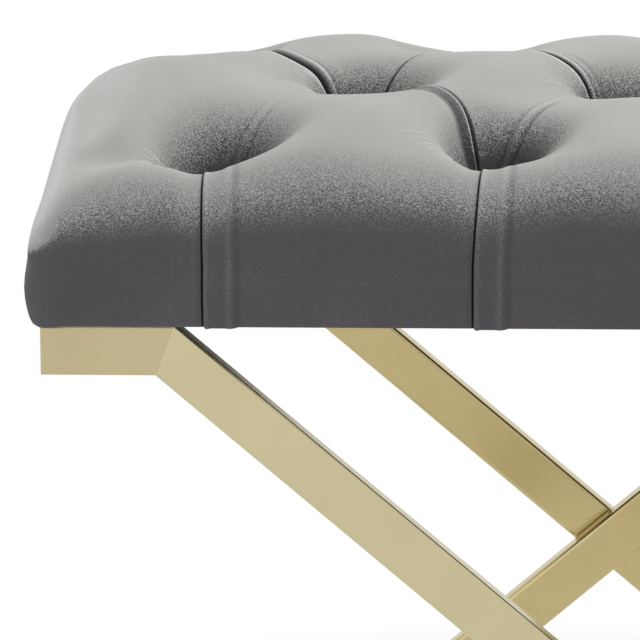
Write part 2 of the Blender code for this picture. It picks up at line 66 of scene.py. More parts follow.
# Upright sides and hem of the cloth, a little fuller than those of the solids
SIDE_SWELL = 0.0019  # half way up
SIDE_RINGS = (0.027, 0.022, 0.017, 0.012, 0.0085, 0.0058, 0.0036, 0.0020, 0.0009)  # heights in the mesh
HEM_DRAW = 0.0020  # how far the hem is drawn in
HEM_DRAW_HEIGHT = 0.020  # from here down
HEM_DRAW_SHARE = 0.6  # of it, and the rest where the hem turns under
HEM_TURN_HEIGHT = 0.004
# Rings round the hem's edge and under the board: (inset, height, share of the folds' height)
HEM_RINGS = ((HEM_DRAW + 0.0006, 0.0002, 1.0), (HEM_DRAW + 0.0018, 0.0, 0.0),
             (DRAW_IN + HEM, 0.0, 0.0), (DRAW_IN + HEM, 0.00135, 1.0))
CORNER_SAG = 0.0016  # of the hem, at the corners
CORNER_SAG_HEIGHT = 0.012
CORNER_SAG_REACH = (0.020, 0.004)  # in from both edges, where it starts and where it is full
SIDE_GAP = 0.0008  # deepest gap beside a tuck at the hem, and how much deeper it is with height
SIDE_GAP_GROWTH = 0.10
TUCK_DIP = 0.40  # how far a tuck's hem hangs down, for its thickness

# Tufting
TUFT_ROWS = ((-1, 4), (0, 3), (1, 4))  # place and number of tufts
TUFT_SPACING = 0.133
TUFT_ROW_SPACING = 0.120
TUFT_DEPTH = 0.0615
TUFT_PULL = 0.150
TUFT_SPAN = 0.0215
TUFT_FLOOR_POWER = 4.0
SAME_TUFT = 0.001  # a place this close to a tuft is that tuft
TIGHTNESS = 2.0  # one flank of a hollow is this much narrower than the other
OUTER_TIGHTNESS = 1.4  # the same, at the front left corner
CORNER_VALLEY_DEPTH = 0.022  # from the front corner tufts towards the corners
CORNER_VALLEY_SPAN = 0.030
CORNER_VALLEY_RUN = (0.042, 0.017)
TUCK_VALLEY_DEPTH = 0.0165  # flat-floored, under the tucks over the front
TUCK_VALLEY_SPAN = 0.0155
TUCK_VALLEY_SHIFT = 0.0032
TUCK_VALLEY_POWER = 4.0
PLEAT_DEPTH = 0.0190
EDGE_PLEAT_DEPTH = 0.0065
PLEAT_SPAN = 0.070
PLEAT_POWER = 1.9
SINK_POWER = 3.0
BUTTON_RADIUS = 0.008
BUTTON_LIFT = 0.002
BUTTON_GATHERS = 9
BUTTON_GATHER = 0.02  # of the radius

# Layout of the cloth
EDGE_ZONE = 0.045  # width of the band along the edge in which it follows the length along the cloth

# Unevenness of hand-filled padding
WAVE_COUNT = 10
WAVE_NUMBERS = (40, 110)  # radians to a metre
WAVE_HEIGHT = 0.00035
WAVE_FADE = 0.05  # width of the band along the edge of the cloth in which the waves fade
# Places that are filled more or less than the others: (x, y, radius in x, radius in y, height)
FILLINGS = ((-0.135, 0.158, 0.026, 0.026, -0.0030), (-0.172, 0.148, 0.025, 0.025, 0.0020),
            (-0.198, 0.162, 0.022, 0.022, 0.0016), (-0.222, 0.150, 0.022, 0.022, 0.0020),
            (-0.046, 0.162, 0.016, 0.020, -0.0020), (-0.240, 0.070, 0.016, 0.020, 0.0014),
            (-0.186, 0.062, 0.022, 0.030, 0.0022), (-0.213, 0.042, 0.016, 0.025, -0.0018),
            (-0.264, 0.085, 0.014, 0.024, -0.0028), (-0.140, 0.130, 0.020, 0.020, -0.0018),
            (-0.274, -0.035, 0.009, 0.066, 0.0062), (0.274, -0.035, 0.009, 0.066, 0.0062),
            (-0.004, -0.062, 0.045, 0.040, -0.0034))

# Course of the folds, along them from their tuft
FOLD_START = 0.004
BACK_TUCK_START = 0.066
FOLD_GROWTH = 0.010  # length over which a fold comes up, and goes down again at another tuft
TUCK_STANDING = (0.020, 0.070)  # where a tuck starts to stand out of the cloth, and where it does so fully
PLEAT_WIDENING = 0.026  # length over which a pleat gets its full width, and its least width
PLEAT_NARROWEST = 0.30
TUCK_WIDENING = 0.075
TUCK_WIDTH_AT_TUFT = 0.35
TUCK_NARROWEST = 0.45
NARROW_HEIGHT = 0.4  # share of its height that a fold keeps however narrow it gets
BOW_POWER = 0.6
BEND_SPREAD = 0.0006
# How much of a pleat fades, from and to these shares of its length: its painted light, its painted shade, and
# the whole of a soft pleat
LIGHT_FADE = (0.6, 0.40, 0.75)
SHADE_FADE = (0.7, 0.28, 0.62)
OUTER_SOFT_FADE = (0.85, 0.22, 0.48)
SOFT_FADE = (0.85, 0.30, 0.62)
OUTER_SOFT_STRENGTH = 0.6
# How far the folds bend to their right, in the order of their tufts, and how far the tucks slant
EDGE_BENDS = (0.0155, 0.0130, 0.0110)
SOFT_BEND = 0.0030
FINE_BEND = 0.0010
FINE_SHIFTS = (-0.004, 0.010)  # of both ends of a fine line from their tufts
TUCK_BENDS = (0.0012, 0.0036, 0.0020, 0.0025, 0.0020, 0.0023, 0.0018, 0.0022)
TUCK_SLANTS = (0.0022, -0.0055, 0.0012, -0.0010, 0.0010, -0.0012, 0.0008, 0.0)

# Wrinkles in fans at a tuft: (first and last direction in degrees, count, nearest, furthest)
LOWER_FAN = (205, 262, 7, 0.018, 0.046)
WRINKLE_FANS = ((118, 165, 5, 0.010, 0.032), LOWER_FAN)
OUTER_FANS = ((160, 212, 9, 0.006, 0.034), LOWER_FAN)
FAN_SPREAD = 2.0  # how many degrees a wrinkle may lie off its place in a fan
WRINKLE_WIDTHS = (0.022, 0.036)  # in radians, seen from the tuft
WRINKLE_HEIGHTS = (0.0003, 0.0007)
LOOSE_WRINKLES = 5  # at each tuft, in any direction
LOOSE_WIDTHS = (0.05, 0.09)
LOOSE_HEIGHTS = (0.0001, 0.0004)
LOOSE_REACH = (0.010, 0.040)
WRINKLE_FADES = (0.006, 0.010)  # lengths of both ends
WRINKLE_PAINTED_LIGHT = 320.0  # how much painted highlight a wrinkle gets, for each metre of its height

# Frame
FRAME_LENGTH = 0.550
RAIL_LENGTH = 0.0595
TUBE_FACE = 0.0254
TUBE_THICKNESS = 0.0127
TUBE_CORNER = 0.0022
TUBE_CORNER_STEPS = 4
END_PLATE = 0.0015
SEAM = 0.0003  # between tubes that meet
WELD_SUNK = 0.00012  # under the faces of the tubes
LEG_ANGLE = math.radians(40.5)

# Painted light and sheen of the velvet, standing in for the light from above and for the sheen of its pile,
# which leans to the front: how light it is painted against how the surface faces
PAINTED_LIGHT_TILT = math.radians(25)
PAINTED_LIGHT_LEVELS = (-0.20, -0.06, 0.12, 0.33, 0.69, 1.0)
PAINTED_LIGHT_SHARES = (0.0, 0.12, 0.46, 0.66, 0.79, 1.0)
PAINTED_LIGHT_CROSS = 0.02  # how much a sideways slope counts for the painted light
PAINTED_END_LIGHT = 0.62  # how much more painted light the slopes down to the ends get
PAINTED_RIM_SHEEN = 0.30  # and how much lighter their painted rim sheen is than the level top
END_SLOPE = (-0.060, -0.004)  # from an end, where such a slope starts to count and where it does fully
END_UPWARD = (0.35, 0.53)  # the same, for how far it faces up
END_SIDEWAYS = 0.35  # how much facing the end counts as facing up
END_HEIGHT = 0.005  # over the widest place, from where such a slope counts fully
END_LEAN = (0.0, 0.35)  # how far it faces the end, for the painted light and for the painted rim sheen
RIM_LEAN = (0.15, 0.80)
PAINTED_FLANK_LIGHT = 0.30  # how much more painted light the left flank of a front hollow gets than its right flank, which gets painted shade
PAINTED_FLANK_DEPTHS = (0.012, 0.035)
HOLLOW_START = 0.018  # depth of a tuft's hollow where its painted shade starts, and where it is darkest
HOLLOW_FULL = 0.052
HOLLOW_SHIFT = 0.005  # the darkest painted shade lies this far to the right of a front tuft
FRONT_ROW = (0.25, 0.75)  # shares of the way from the middle row, over which the front hollows' shifted painted shade and flank light set in

# Fineness of the cloth's mesh
CLOTH_STEP = 0.0024
TUFT_STEP = 0.0013
TUFT_ZONE = 0.036  # radius of the finer mesh round a tuft
ROW_RATIO = 0.866  # of the steps between and along staggered rows
FOLD_STEP = 0.0016  # along a fold
FOLD_MARGIN = 0.006  # at both ends of its mesh
FOLD_FINE_STEP = 0.0003  # across a fold, where it bends most
FOLD_COUNTS = (9, 15)  # lines to its left and right, further apart
FOLD_CLEAR = 0.00025  # least distances between points
TUCK_CLEAR = 0.0012
EDGE_CLEAR = 0.0008
FINE_CELL = 0.0005
COARSE_CELL = 0.0008
CORNER_ZONE = 0.01  # the edge keeps all its points this close to a corner
ON_EDGE = 1e-6

# Tones of the brass, each pale and deep, with painted shade on the rails and the rear cross, and of the
# velvet, with painted light, sheen and shade
LEG_TONE = ((0.600, 0.535, 0.330), (0.565, 0.500, 0.305))
# The rails and the rear cross: the legs' brass, darker with painted shade
RAIL_SHADED_TONE = ((0.548, 0.474, 0.281), (0.515, 0.443, 0.258))
REAR_SHADED_TONE = ((0.540, 0.447, 0.228), (0.505, 0.415, 0.206))
# Velvet tones in painted shade and in painted light, the painted rim sheen, and painted shade in hollows and
# fold gaps
SHADED_VELVET = ((0.128, 0.118, 0.129), (0.142, 0.132, 0.143))
LIT_VELVET = ((0.523, 0.525, 0.497), (0.554, 0.556, 0.526))
RIM_SHEEN_TONE = (0.780, 0.780, 0.770)
HOLLOW_SHADE_TONE = (0.060, 0.056, 0.056)
GAP_SHADE_TONE = (0.010, 0.010, 0.010)

# Studio
CAMERA_PLACE = (-0.0202, -2.640, 0.9368)
CAMERA_TURNS = (-2.82, 12.32, -0.27)  # yaw, pitch and roll in degrees
CAMERA_LENS = 297.3
CAMERA_SENSOR = 36.0
CAMERA_REACH = 60.0
LIGHT_AIM = (0.0, 0.0, 0.45)
WHITE = (1.0, 1.0, 1.0, 1.0)
SKY = (0.97, 0.98, 1.0, 1.0)
SKY_STRENGTH = 0.40
FLOOR_SIZE = 30.0
FLOOR_TONE = (0.82, 0.82, 0.82, 1.0)
FLOOR_FADE = (0.35, 0.72)  # distances at which it starts to turn white, and is white

FULL_TURN = 2 * math.pi
RANDOM = np.random.default_rng(7)


# Form of the seat before it is folded

def rise(inset, run, power):
    """Share of its height that a rounding has at a distance in from the edge."""
    left = np.clip(1.0 - inset / run, 0.0, 1.0)
    return np.maximum(1.0 - left ** power, 0.0) ** (1.0 / power)


def edge_rise(inset, rounding, dome, dome_share):
    """Share of the seat's height at a distance in from an edge: a rounding, and a gentle dome over it."""
    inset = np.maximum(inset, 0.0)
    domed = dome_share * rise(inset, dome, DOME_POWER)
    return (1.0 - dome_share) * rise(inset, rounding, ROUND_POWER) + domed


def front_rise(y):
    return edge_rise(HALF_WIDTH - np.abs(y), FRONT_ROUND, FRONT_DOME, FRONT_DOME_SHARE)


def end_rise(x):
    return edge_rise(HALF_LENGTH - np.abs(x), END_ROUND, END_DOME, END_DOME_SHARE)


TUFTS = [(TUFT_SPACING * (k - (count - 1) / 2), row * TUFT_ROW_SPACING)
         for row, count in TUFT_ROWS for k in range(count)]


def is_tuft(x, y):
    return any(math.hypot(x - other_x, y - other_y) < SAME_TUFT for other_x, other_y in TUFTS)


def valley_lines():
    """Valleys as (start, end, depth, span, power): tuft to tuft, to front or back, and to the corners."""
    lines = []
    for x, y in TUFTS:
        for step in (-0.5, 0.5):
            other = (x + step * TUFT_SPACING, y + TUFT_ROW_SPACING)
            if is_tuft(*other):
                lines.append(((x, y), other, PLEAT_DEPTH, PLEAT_SPAN, PLEAT_POWER))
        if y != 0:
            edge = (x, math.copysign(HALF_WIDTH, y))
            lines.append(((x, y), edge, EDGE_PLEAT_DEPTH, PLEAT_SPAN, PLEAT_POWER))
        if y < 0 and abs(x) > TUFT_SPACING:
            corner = (x + math.copysign(CORNER_VALLEY_RUN[0], x), y - CORNER_VALLEY_RUN[1])
            lines.append(((x, y), corner, CORNER_VALLEY_DEPTH, CORNER_VALLEY_SPAN, PLEAT_POWER))
        if y < 0:
            start = (x + TUCK_VALLEY_SHIFT, y)
            end = (x + TUCK_VALLEY_SHIFT, -HALF_WIDTH)
            lines.append((start, end, TUCK_VALLEY_DEPTH, TUCK_VALLEY_SPAN, TUCK_VALLEY_POWER))
    return lines


VALLEYS = valley_lines()


def distance_to_line(x, y, start, end):
    run_x = end[0] - start[0]
    run_y = end[1] - start[1]
    off_x = x - start[0]
    off_y = y - start[1]
    share = np.clip((off_x * run_x + off_y * run_y) / (run_x ** 2 + run_y ** 2), 0.0, 1.0)
    return np.hypot(off_x - share * run_x, off_y - share * run_y)


def sink(x, y):
    """How far the tufts and valleys draw the top down."""
    total = np.zeros_like(x)
    for tuft_x, tuft_y in TUFTS:
        tight = x > tuft_x if tuft_y > 0 else x < tuft_x
        corner = tuft_y < 0 and tuft_x < -TUFT_SPACING
        across = np.where(tight, OUTER_TIGHTNESS if corner else TIGHTNESS, 1.0) * (x - tuft_x)
        sides = TUFT_PULL * np.exp(-np.hypot(across, y - tuft_y) / TUFT_SPAN)
        floor_ratio = (sides / TUFT_DEPTH) ** TUFT_FLOOR_POWER
        total += (sides * (1.0 + floor_ratio) ** (-1.0 / TUFT_FLOOR_POWER)) ** SINK_POWER
    for start, end, depth, span, power in VALLEYS:
        reach = distance_to_line(x, y, start, end)
        total += (depth * np.exp(-(reach / span) ** power)) ** SINK_POWER
    return total ** (1.0 / SINK_POWER)


def seat_height(x, y):
    return BULGE_HEIGHT + (SEAT_HEIGHT - BULGE_HEIGHT - sink(x, y)) * end_rise(x) * front_rise(y)


# Layout of the cloth: distances along it, level in the middle and running down over the edges

def cloth_run(half, share_at):
    """Table of places from the middle to the edge against the length of cloth that they take."""
    inset = EDGE_ZONE * np.linspace(1.0, 0.0, 400) ** 2
    height = (SEAT_HEIGHT - BULGE_HEIGHT) * share_at(half - inset)
    length = np.concatenate([[0.0], np.cumsum(np.hypot(np.diff(inset), np.diff(height)))])
    return half - EDGE_ZONE + length, half - inset


RUN_X, PLACE_X = cloth_run(HALF_LENGTH, end_rise)
RUN_Y, PLACE_Y = cloth_run(HALF_WIDTH, front_rise)
CLOTH_X = RUN_X[-1]
CLOTH_Y = RUN_Y[-1]
CLOTH_SIZE = np.array((CLOTH_X, CLOTH_Y))


def along(run, table, places):
    """Place across the seat of a distance along the cloth."""
    size = np.abs(run)
    edge = np.interp(size, table, places)
    return np.sign(run) * np.where(size < table[0], size, edge)


WAVES = [(RANDOM.uniform(*WAVE_NUMBERS), RANDOM.uniform(0, FULL_TURN), RANDOM.uniform(0, FULL_TURN))
         for _ in range(WAVE_COUNT)]


def swell(run_x, run_y, x, y):
    """Height of the padding's unevenness, from distances along the cloth and the places that they lead to."""
    total = np.zeros_like(run_x)
    for number, turn, phase in WAVES:
        total += np.sin(number * (run_x * math.cos(turn) + run_y * math.sin(turn)) + phase)
    fade_x = np.clip((CLOTH_X - np.abs(run_x)) / WAVE_FADE, 0.0, 1.0)
    fade_y = np.clip((CLOTH_Y - np.abs(run_y)) / WAVE_FADE, 0.0, 1.0)
    total = WAVE_HEIGHT * total * fade_x * fade_y
    for middle_x, middle_y, radius_x, radius_y, height in FILLINGS:
        reach = ((x - middle_x) / radius_x) ** 2 + ((y - middle_y) / radius_y) ** 2
        total += height * np.exp(-reach) * fade_y
    return total


def round_corner(places):
    """Moves places in the rectangular layout so that its corners become round."""
    straight = HALF_SIZE - SEAT_CORNER
    past = np.maximum(np.abs(places) - straight, 0.0) / SEAT_CORNER
    rounded = straight + SEAT_CORNER * past * np.sqrt(1.0 - past[:, ::-1] ** 2 / 2)
    corner = np.all(past > 0, axis=1, keepdims=True)
    return np.where(corner, np.sign(places) * rounded, places)


def top_surface(run_x, run_y):
    x = along(run_x, RUN_X, PLACE_X)
    y = along(run_y, RUN_Y, PLACE_Y)
    height = seat_height(x, y) + swell(run_x, run_y, x, y)
    return np.column_stack([round_corner(np.column_stack([x, y])), height])


def normals_of(run_x, run_y):
    step = 0.0004
    low_x, high_x = (np.clip(run_x + shift, -CLOTH_X, CLOTH_X) for shift in (-step, step))
    low_y, high_y = (np.clip(run_y + shift, -CLOTH_Y, CLOTH_Y) for shift in (-step, step))
    across = top_surface(high_x, run_y) - top_surface(low_x, run_y)
    back = top_surface(run_x, high_y) - top_surface(run_x, low_y)
    normal = np.cross(across, back)
    return normal / np.maximum(np.linalg.norm(normal, axis=1, keepdims=True), 1e-12)


# Forms of fold. Each gives three values against the distance across the fold: its height over the unfolded
# cloth, where painted shade darkens its gap, from 0 to 1, and its painted light, below 0 for painted shade.

def bump(value, middle, width):
    return np.exp(-((value - middle) / width) ** 2)


def step_up(value, start, end):
    share = np.clip((value - start) / (end - start), 0.0, 1.0)
    return share * share * (3.0 - 2.0 * share)


def gap(across, middle, half):
    """A narrow gap with steep sides: 1 at its floor, 0 outside."""
    return 1.0 - step_up(np.abs(across - middle), half * 0.3, half)


def edge_pleat(across):
    """The left cloth dips, then its folded edge stands over a narrow gap; painted highlight on the edge,
    painted shade in the dip and the gap.
    """
    edge = bump(across, -0.0010, 0.0009)
    trough = bump(across, -0.0050, 0.0028)
    gap_shade = step_up(across, -0.0002, 0.0004) * (1.0 - step_up(across, 0.0010, 0.0022))
    height = 0.0009 * edge - 0.0016 * trough - 0.0030 * gap(across, 0.0008, 0.0014)
    tone_and_painted_light = 0.80 * bump(across, -0.0006, 0.0007) - 0.75 * bump(across, -0.0037, 0.0022)
    return height, gap_shade, tone_and_painted_light


def rolled_pleat(across):
    """A deep gap, then a roll of cloth that rises out of it, and a faint second one; painted shade in the gap
    and behind the roll, painted highlights on the edge and the roll.
    """
    edge = bump(across, -0.0010, 0.0008)
    deep = step_up(across, -0.0006, 0.0003) * (1.0 - step_up(across, 0.0008, 0.0080))
    gap_shade = step_up(across, -0.0005, 0.0002) * (1.0 - step_up(across, 0.0056, 0.0094))
    ridge = bump(across, 0.0094, 0.0013)
    behind = bump(across, 0.0124, 0.0013)
    height = 0.0006 * edge - 0.0060 * deep + 0.0012 * ridge - 0.0007 * behind
    tone_and_painted_light = 0.70 * edge + 0.42 * ridge - 0.26 * behind - 0.08 * bump(across, 0.0166, 0.0012)
    return height, gap_shade, tone_and_painted_light


def narrow_roll(across):
    """A narrow gap with a roll close beside it, and a faint second one; painted shade in the gap and beside
    the rolls, painted highlights on the edge and the rolls.
    """
    edge = bump(across, -0.0010, 0.0008)
    deep = step_up(across, -0.0006, 0.0002) * (1.0 - step_up(across, 0.0008, 0.0034))
    gap_shade = step_up(across, -0.0005, 0.0001) * (1.0 - step_up(across, 0.0026, 0.0038))
    ridge = bump(across, 0.0046, 0.0011)
    between = bump(across, 0.0070, 0.0011)
    second = bump(across, 0.0090, 0.0015)
    behind = bump(across, 0.0122, 0.0016)
    height = 0.0006 * edge - 0.0040 * deep + 0.0010 * ridge - 0.0004 * between + 0.0005 * second
    tone_and_painted_light = 0.70 * edge + 0.40 * ridge - 0.20 * between + 0.12 * second - 0.22 * behind
    return height, gap_shade, tone_and_painted_light


def soft_pleat(across):
    """A shallow pleat: a soft ridge between two faint lines, with a painted highlight on the ridge and
    painted shade on the lines.
    """
    ridge = bump(across, 0.0, 0.0022)
    first = bump(across, -0.0034, 0.0009)
    second = bump(across, 0.0036, 0.0009)
    height = 0.0010 * ridge - 0.0010 * first - 0.0011 * second
    return height, np.zeros_like(across), 0.14 * ridge - 0.30 * first - 0.34 * second


def fine_line(across):
    """A pleat drawn tight, of which only a line shows, darkened with painted shade."""
    gap_shade = gap(across, 0.0, 0.0009)
    return 0.0003 * bump(across, 0.0018, 0.0010) - 0.0018 * gap_shade, gap_shade, np.zeros_like(across)


def tuck(across):
    """A flap folded to the left: a gap, its rolled edge, its body and the soft step at its far side, with
    painted shade in the gap and at the step and painted highlights on the roll and a band of the body.
    """
    gap_shade = gap(across, -0.0001, 0.0006)
    roll = bump(across, 0.0017, 0.0011)
    band = bump(across, 0.0126, 0.0013)
    step = bump(across, 0.0163, 0.0014)
    body = step_up(across, 0.0002, 0.0012) * (1.0 - step_up(across, 0.0146, 0.0170))
    beside = bump(across, -0.0014, 0.0009)
    height = 0.0011 * body + 0.0006 * roll + 0.0004 * band - 0.0003 * beside - 0.0030 * gap_shade
    tone_and_painted_light = 0.11 * roll - 0.03 * bump(across, 0.0078, 0.0028) + 0.12 * band - 0.20 * step - 0.04 * beside
    return height, gap_shade, tone_and_painted_light


ROLLS = ((rolled_pleat, -0.0085), (narrow_roll, -0.0042), (rolled_pleat, -0.0060))  # each with its bend


# Folds on the cloth

def fold_places(low, fine_low, fine_high, high):
    """Places across a fold: close together where it bends most."""
    left_count, right_count = FOLD_COUNTS
    left = np.linspace(low, fine_low, left_count)[:-1]
    right = np.linspace(fine_high, high, right_count)[1:]
    fine = np.arange(fine_low, fine_high + FOLD_FINE_STEP / 3, FOLD_FINE_STEP)
    return np.sort(np.concatenate([left, right, fine]))


PLEAT_ACROSS = fold_places(-0.0120, -0.0026, 0.0050, 0.0190)
TUCK_ACROSS = fold_places(-0.0060, -0.0014, 0.0022, 0.0205)


class Fold:
    """A fold along a line in the layout, with its places across it and its form."""

    def __init__(self, start, end, form, bend, to_edge=False, strength=1.0, runs_out=None):
        self.start = Vector(start)
        self.run = Vector(end) - self.start
        self.length = self.run.length
        self.run.normalize()
        self.side = Vector((1.0, 0.0)) if to_edge else Vector((self.run.y, -self.run.x))
        self.form = form
        self.across = TUCK_ACROSS if to_edge else PLEAT_ACROSS
        self.to_edge = to_edge
        self.strength = strength
        self.runs_out = runs_out
        self.begin = BACK_TUCK_START if to_edge and self.run.y > 0 else FOLD_START
        self.bend = bend + RANDOM.uniform(-BEND_SPREAD, BEND_SPREAD)

    def narrowing(self, distance):
        """The fold gets narrower where it runs into a tuft."""
        if self.to_edge:
            return np.clip(TUCK_WIDTH_AT_TUFT + distance / TUCK_WIDENING, TUCK_NARROWEST, 1.0)
        near = np.minimum(distance, self.length - distance)
        return np.clip(near / PLEAT_WIDENING, PLEAT_NARROWEST, 1.0)

    def bow(self, distance):
        """How far the fold's course lies to its right of the straight line."""
        if self.to_edge:
            return self.bend * np.ones_like(distance)
        return self.bend * np.sin(np.clip(distance / self.length, 0.0, 1.0) * math.pi) ** BOW_POWER

    def fading(self, distance, most, first, last):
        """1 at the fold's start, and less by most from one share of its length to another."""
        return 1.0 - most * step_up(distance, first * self.length, last * self.length)

    def places(self):
        """Points of the layout in lines along the fold."""
        last = self.length if self.to_edge else self.length - FOLD_MARGIN
        count = int((last - FOLD_MARGIN) / FOLD_STEP) + 1
        distance = np.linspace(FOLD_MARGIN, last, count)[:, None]
        sideways = self.across[None, :] * self.narrowing(distance) + self.bow(distance)
        x = self.start.x + self.run.x * distance + self.side.x * sideways
        y = self.start.y + self.run.y * distance + self.side.y * sideways
        return np.stack([x.ravel(), y.ravel()], axis=1)

    def height(self, run_x, run_y):
        """Height that the fold adds at places of the layout, where painted shade darkens its gap, and its
        painted light and shade.
        """
        off_x = run_x - self.start.x
        off_y = run_y - self.start.y
        distance = off_x * self.run.x + off_y * self.run.y
        sideways = off_x * self.side.x + off_y * self.side.y
        if self.to_edge:
            sideways = off_x - self.run.x / max(abs(self.run.y), 1e-6) * np.abs(off_y)
        narrowing = self.narrowing(distance)
        across = (sideways - self.bow(distance)) / narrowing
        height, gap_shade, tone_and_painted_light = self.form(across)
        height = height * (NARROW_HEIGHT + (1.0 - NARROW_HEIGHT) * narrowing)
        strength = self.strength * step_up(distance, self.begin, self.begin + FOLD_GROWTH)
        if self.to_edge:
            height = height * step_up(distance, *TUCK_STANDING)
        else:
            strength = strength * step_up(self.length - distance, FOLD_START, FOLD_START + FOLD_GROWTH)
            lit = self.fading(distance, *LIGHT_FADE)
            shaded = self.fading(distance, *SHADE_FADE)
            tone_and_painted_light = tone_and_painted_light * np.where(tone_and_painted_light > 0.0, lit, shaded)
        if self.runs_out:
            strength = strength * self.fading(distance, *self.runs_out)
        strength = np.where((across > self.across[0]) & (across < self.across[-1]), strength, 0.0)
        return height * strength, gap_shade * strength, tone_and_painted_light * strength


def make_folds():
    """Folds from each tuft to those of the next row, and tucks over the front and back."""
    folds = []
    edge_bends = iter(EDGE_BENDS)
    rolls = iter(ROLLS)
    tucks = iter(zip(TUCK_SLANTS, TUCK_BENDS))
    for x, y in TUFTS:
        left = (x - TUFT_SPACING / 2, y + TUFT_ROW_SPACING)
        right = (x + TUFT_SPACING / 2, y + TUFT_ROW_SPACING)
        if is_tuft(*left):
            form, bend = (edge_pleat, next(edge_bends)) if y < 0 else next(rolls)
            folds.append(Fold((x, y), left, form, bend))
        if is_tuft(*right) and y < 0:
            outer = x < -TUFT_SPACING
            strength = OUTER_SOFT_STRENGTH if outer else 1.0
            runs_out = OUTER_SOFT_FADE if outer else SOFT_FADE
            folds.append(Fold((x, y), right, soft_pleat, SOFT_BEND, strength=strength, runs_out=runs_out))
        elif is_tuft(*right):
            start = (x + FINE_SHIFTS[0], y)
            end = (right[0] + FINE_SHIFTS[1], right[1])
            folds.append(Fold(start, end, fine_line, FINE_BEND))
        if y != 0:
            slant, bend = next(tucks)
            edge = (x + slant, math.copysign(CLOTH_Y, y))
            folds.append(Fold((x, y), edge, tuck, bend, to_edge=True))
    return folds


FOLDS = make_folds()


def fold_height(run_x, run_y):
    """Height of all folds at places of the layout, where painted shade darkens their gaps, and their painted
    light and shade.
    """
    parts = zip(*[fold.height(run_x, run_y) for fold in FOLDS])
    heights, gap_shades, fold_painted_lights = (np.array(part) for part in parts)
    return heights.sum(axis=0), gap_shades.max(axis=0), fold_painted_lights.sum(axis=0)


def make_wrinkles():
    """Fine lines that run into each tuft: (tuft, direction, width, height, nearest, furthest)."""
    lines = []
    for x, y in TUFTS:
        fans = OUTER_FANS if abs(x) > TUFT_SPACING else WRINKLE_FANS
        for first, last, count, nearest, furthest in fans:
            for k in range(count):
                degrees = first + (last - first) * k / (count - 1)
                degrees += RANDOM.uniform(-FAN_SPREAD, FAN_SPREAD)
                direction = math.radians(degrees if y <= 0 else -degrees)
                width = RANDOM.uniform(*WRINKLE_WIDTHS)
                height = RANDOM.uniform(*WRINKLE_HEIGHTS)
                lines.append(((x, y), direction, width, height, nearest, furthest))
        for _ in range(LOOSE_WRINKLES):
            direction = RANDOM.uniform(0, FULL_TURN)
            width = RANDOM.uniform(*LOOSE_WIDTHS)
            height = RANDOM.uniform(*LOOSE_HEIGHTS)
            lines.append(((x, y), direction, width, height, *LOOSE_REACH))
    return lines


WRINKLES = make_wrinkles()


def wrinkle_height(run_x, run_y):
    total = np.zeros_like(run_x)
    near_fade, far_fade = WRINKLE_FADES
    for (x, y), direction, width, height, nearest, furthest in WRINKLES:
        reach = np.hypot(run_x - x, run_y - y)
        turn = np.arctan2(run_y - y, run_x - x) - direction
        turn = np.abs((turn + math.pi) % FULL_TURN - math.pi)
        starting = step_up(reach, nearest, nearest + near_fade)
        ending = step_up(reach, furthest - far_fade, furthest)
        total += height * starting * (1.0 - ending) * np.exp(-(turn / width) ** 2)
    return total


# Mesh of the cloth

def even_points(step, near_tufts):
    """Points in staggered rows over the layout, either near the tufts or away from them."""
    rows = np.arange(-CLOTH_Y + step, CLOTH_Y - step / 2, step * ROW_RATIO)
    columns = np.arange(-CLOTH_X + step, CLOTH_X - step, step)
    x = columns[None, :] + (np.arange(len(rows)) % 2)[:, None] * step / 2
    y = np.broadcast_to(rows[:, None], x.shape)
    points = np.stack([x.ravel(), y.ravel()], axis=1)
    reach = np.min([np.hypot(*(points - tuft).T) for tuft in TUFTS], axis=0)
    return points[(reach < TUFT_ZONE) == near_tufts]


def thin_out(points, taken, cell):
    """Points that have no taken point in their own cell of a grid or in the cells round it."""
    margin = 3
    used = np.zeros((2 * CLOTH_SIZE / cell).astype(int) + 2 * margin + 2, bool)

    def cells(places):
        return ((places + CLOTH_SIZE) / cell).astype(int).T + margin

    column, row = cells(taken)
    for shift_x in (-1, 0, 1):
        for shift_y in (-1, 0, 1):
            used[column + shift_x, row + shift_y] = True
    column, row = cells(points)
    return points[~used[column, row]]


def first_in_each_cell(points, cell):
    key = np.round(points / cell).astype(np.int64)
    _, first = np.unique(key, axis=0, return_index=True)
    return points[np.sort(first)]


def edge_points():
    """Points round the layout's edge, with those of the tucks that run over it."""
    columns = np.linspace(-CLOTH_X, CLOTH_X, int(2 * CLOTH_X / CLOTH_STEP) + 1)
    rows = np.linspace(-CLOTH_Y, CLOTH_Y, int(2 * CLOTH_Y / CLOTH_STEP) + 1)[1:-1]
    points = []
    for side in (-CLOTH_Y, CLOTH_Y):
        tucks = [fold for fold in FOLDS if fold.to_edge and fold.run.y * side > 0]
        tucked = np.concatenate([fold.places()[:, 0][-len(fold.across):] for fold in tucks])
        far = np.min(np.abs(columns[:, None] - tucked[None, :]), axis=1) > TUCK_CLEAR
        near_corner = np.abs(columns) > CLOTH_X - CORNER_ZONE
        line = np.sort(np.concatenate([columns[far | near_corner], tucked]))
        points.append(np.stack([line, np.full_like(line, side)], axis=1))
    for side in (-CLOTH_X, CLOTH_X):
        points.append(np.stack([np.full_like(rows, side), rows], axis=1))
    return np.concatenate(points)


def layout_points():
    folded = np.concatenate([fold.places() for fold in FOLDS])
    inner = np.all(np.abs(folded) < CLOTH_SIZE - EDGE_CLEAR, axis=1)
    fixed = np.concatenate([edge_points(), first_in_each_cell(folded[inner], FOLD_CLEAR)])
    fine = thin_out(even_points(TUFT_STEP, True), fixed, FINE_CELL)
    coarse = thin_out(even_points(CLOTH_STEP, False), fixed, COARSE_CELL)
    return np.concatenate([fixed, fine, coarse])


